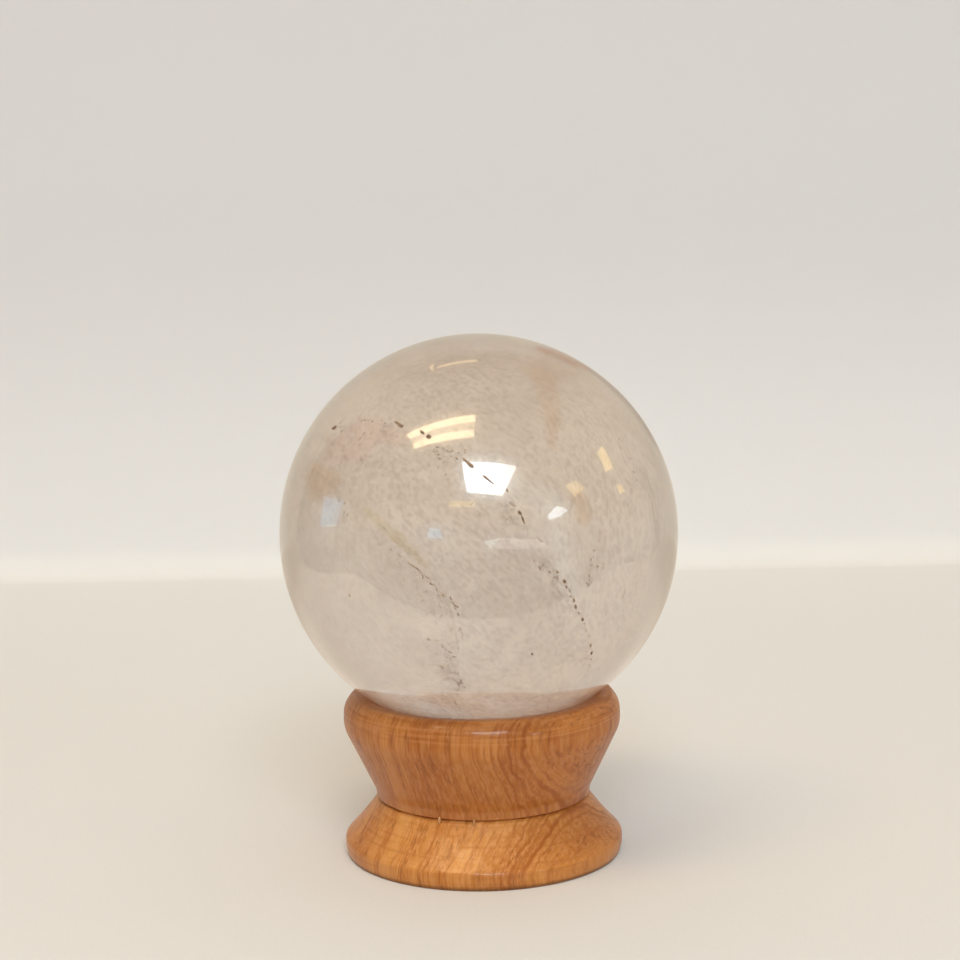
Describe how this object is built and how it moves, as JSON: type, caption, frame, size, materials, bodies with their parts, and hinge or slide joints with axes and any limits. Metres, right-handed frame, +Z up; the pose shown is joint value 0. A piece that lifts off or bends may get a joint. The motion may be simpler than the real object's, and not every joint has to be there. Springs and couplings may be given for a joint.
{
  "type": "quartz sphere on stand",
  "caption": "Polished quartz sphere resting in the dished rim of a waisted turned wooden stand.",
  "frame": {"origin": "middle of the stand's underside, the face that it rests on", "axes": "+Z up along the turned axis, through the middle of the sphere; X and Y are alike"},
  "size_m": [0.08, 0.08, 0.1051],
  "materials": {
    "quartz": "polished, slightly milky, with healed fractures inside",
    "lacquered_wood": "satin lacquer over open grain"
  },
  "bodies": {
    "root": {"quartz_sphere": "quartz", "wooden_stand": "lacquered_wood"}
  },
  "joints": []
}
